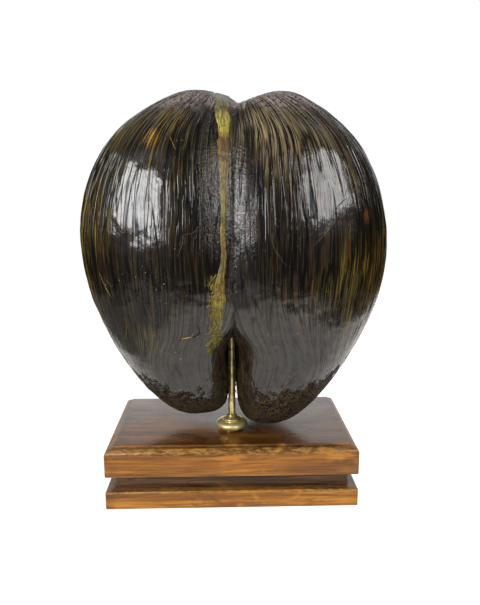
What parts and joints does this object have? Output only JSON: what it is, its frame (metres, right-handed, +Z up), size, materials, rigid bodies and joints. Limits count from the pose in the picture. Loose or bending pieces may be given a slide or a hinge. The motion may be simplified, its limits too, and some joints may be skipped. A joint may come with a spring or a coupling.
{
  "type": "coco de mer nut on a stand",
  "caption": "Large two-lobed, ridged seed with a raised seam, held by a brass rod and turned foot over a stepped, moulded hardwood plinth.",
  "frame": {"origin": "middle of the plinth's underside", "axes": "+Z up, -Y towards the front, where the rod and the open cleft show, +X to the right seen from the front"},
  "size_m": [0.2678, 0.1721, 0.3556],
  "materials": {
    "nut_shell": "gloss varnish over dark ridged shell",
    "brass": "polished",
    "plinth_wood": "satin varnish",
    "neck_wood": "dark stain"
  },
  "bodies": {
    "root": {"nut": "nut_shell", "rod": "brass", "foot": "brass", "upper_board": "plinth_wood", "neck_board": "neck_wood", "lower_board": "plinth_wood"}
  },
  "joints": []
}
